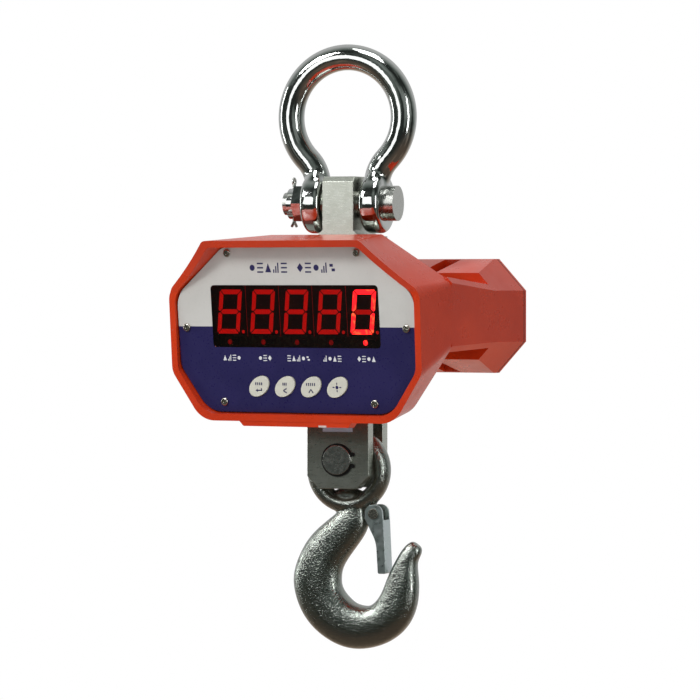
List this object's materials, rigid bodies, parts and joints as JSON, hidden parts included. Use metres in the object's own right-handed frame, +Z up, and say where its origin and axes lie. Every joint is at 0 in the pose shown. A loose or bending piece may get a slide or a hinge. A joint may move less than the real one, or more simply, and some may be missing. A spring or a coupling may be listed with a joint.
{
  "type": "crane scale",
  "caption": "Hanging crane scale: a bow shackle on a steel load cell, an orange cast housing with a digit display and keys, and a latched eye hook below.",
  "frame": {"origin": "the inside crown of the shackle's bow, on the load axis, where the crane's hook carries the scale", "axes": "+Z up, +X to the panel's right as read, -Y out of the display; the shackle, load cell and hook are turned 14 degrees about +Z"},
  "size_m": [0.256, 0.1899, 0.5163],
  "materials": {
    "shackle_chrome": "mirror chrome plate",
    "pin_steel": "bright plated steel, turned end faces",
    "cell_steel": "satin ground nickel-plated steel",
    "black_oxide": "black oxide spring steel",
    "label_grey": "plain silver-grey label, blank",
    "hook_zinc": "bright zinc plate over a forged, finely pitted skin",
    "latch_zinc": "pressed sheet, bluish zinc plate",
    "screw_nickel": "nickel plate",
    "orange_paint": "glossy orange-red paint on a die casting",
    "carrier_steel": "zinc plated sheet",
    "panel_print": "printed plate, warm light grey above and navy below",
    "seal_rubber": "black sponge rubber",
    "window_black": "dark red-black tinted pane",
    "display_black": "black",
    "lamp_red": "diffused red",
    "circuit_green": "solder mask",
    "brass_wire": "plain",
    "battery_case": "moulded case",
    "socket_black": "moulded",
    "button_red": "moulded",
    "key_cream": "moulded, warm cream"
  },
  "bodies": {
    "shackle": {"shackle_bow": "shackle_chrome", "shackle_pin": "pin_steel", "shackle_nut": "shackle_chrome", "shackle_cotter": "pin_steel"},
    "scale": {"load_cell": "cell_steel", "gauge_covers": "cell_steel", "strain_gauges": "circuit_green", "hook_pin": "pin_steel", "hook_pin_circlips": "black_oxide", "rating_label": "label_grey", "housing": "orange_paint", "upper_carrier": "carrier_steel", "lower_carrier": "carrier_steel", "carrier_bolts": "screw_nickel", "face_panel": "panel_print", "panel_gasket": "seal_rubber", "panel_screws": "screw_nickel", "display_window": "window_black", "digit_modules": "display_black", "status_lamps": "lamp_red", "display_board": "circuit_green", "display_standoffs": "screw_nickel", "display_nuts": "screw_nickel", "key_switches": "display_black", "key_board": "circuit_green", "key_board_standoffs": "screw_nickel", "main_board": "circuit_green", "board_pillars": "screw_nickel", "converter_can": "carrier_steel", "radio_module": "circuit_green", "aerial": "brass_wire", "battery": "battery_case", "battery_strap": "carrier_steel", "strap_screws": "screw_nickel", "rear_gasket": "seal_rubber", "rear_cover": "orange_paint", "rear_screws": "screw_nickel", "charging_socket": "socket_black", "power_switch": "socket_black"},
    "hook": {"hook": "hook_zinc", "latch_rivet": "screw_nickel", "latch_spring": "screw_nickel"},
    "latch": {"latch": "latch_zinc"},
    "key_far_left_cap": {"key_far_left": "key_cream"},
    "key_mid_left_cap": {"key_mid_left": "key_cream"},
    "key_mid_right_cap": {"key_mid_right": "key_cream"},
    "key_far_right_cap": {"key_far_right": "key_cream"},
    "power_button_cap": {"power_button": "button_red"}
  },
  "joints": [
    {"name": "scale_swing", "type": "hinge", "parent": "shackle", "child": "scale", "pos_m": [0, 0, -0.1133], "axis": [0.9703, 0.2419, 0], "range_deg": [-45, 45]},
    {"name": "hook_swing", "type": "hinge", "parent": "scale", "child": "hook", "pos_m": [0, 0, -0.3314], "axis": [-0.2419, 0.9703, 0], "range_deg": [-45, 45]},
    {"name": "latch_hinge", "type": "hinge", "parent": "hook", "child": "latch", "pos_m": [0.02581, 0.00643, -0.3775], "axis": [-0.2419, 0.9703, 0], "range_deg": [0, 30], "stiffness_Nm_per_rad": 0.1, "springref_deg": -28.65, "deforming": ["latch_spring"]},
    {"name": "key_far_left_press", "type": "slide", "parent": "scale", "child": "key_far_left_cap", "axis": [0, 0.9954, 0.0958], "range_m": [0, 0.0005], "stiffness_N_per_m": 2500},
    {"name": "key_mid_left_press", "type": "slide", "parent": "scale", "child": "key_mid_left_cap", "axis": [0, 0.9954, 0.0958], "range_m": [0, 0.0005], "stiffness_N_per_m": 2500},
    {"name": "key_mid_right_press", "type": "slide", "parent": "scale", "child": "key_mid_right_cap", "axis": [0, 0.9954, 0.0958], "range_m": [0, 0.0005], "stiffness_N_per_m": 2500},
    {"name": "key_far_right_press", "type": "slide", "parent": "scale", "child": "key_far_right_cap", "axis": [0, 0.9954, 0.0958], "range_m": [0, 0.0005], "stiffness_N_per_m": 2500},
    {"name": "power_press", "type": "slide", "parent": "scale", "child": "power_button_cap", "axis": [0, -1, 0], "range_m": [0, 0.002], "stiffness_N_per_m": 1000}
  ]
}
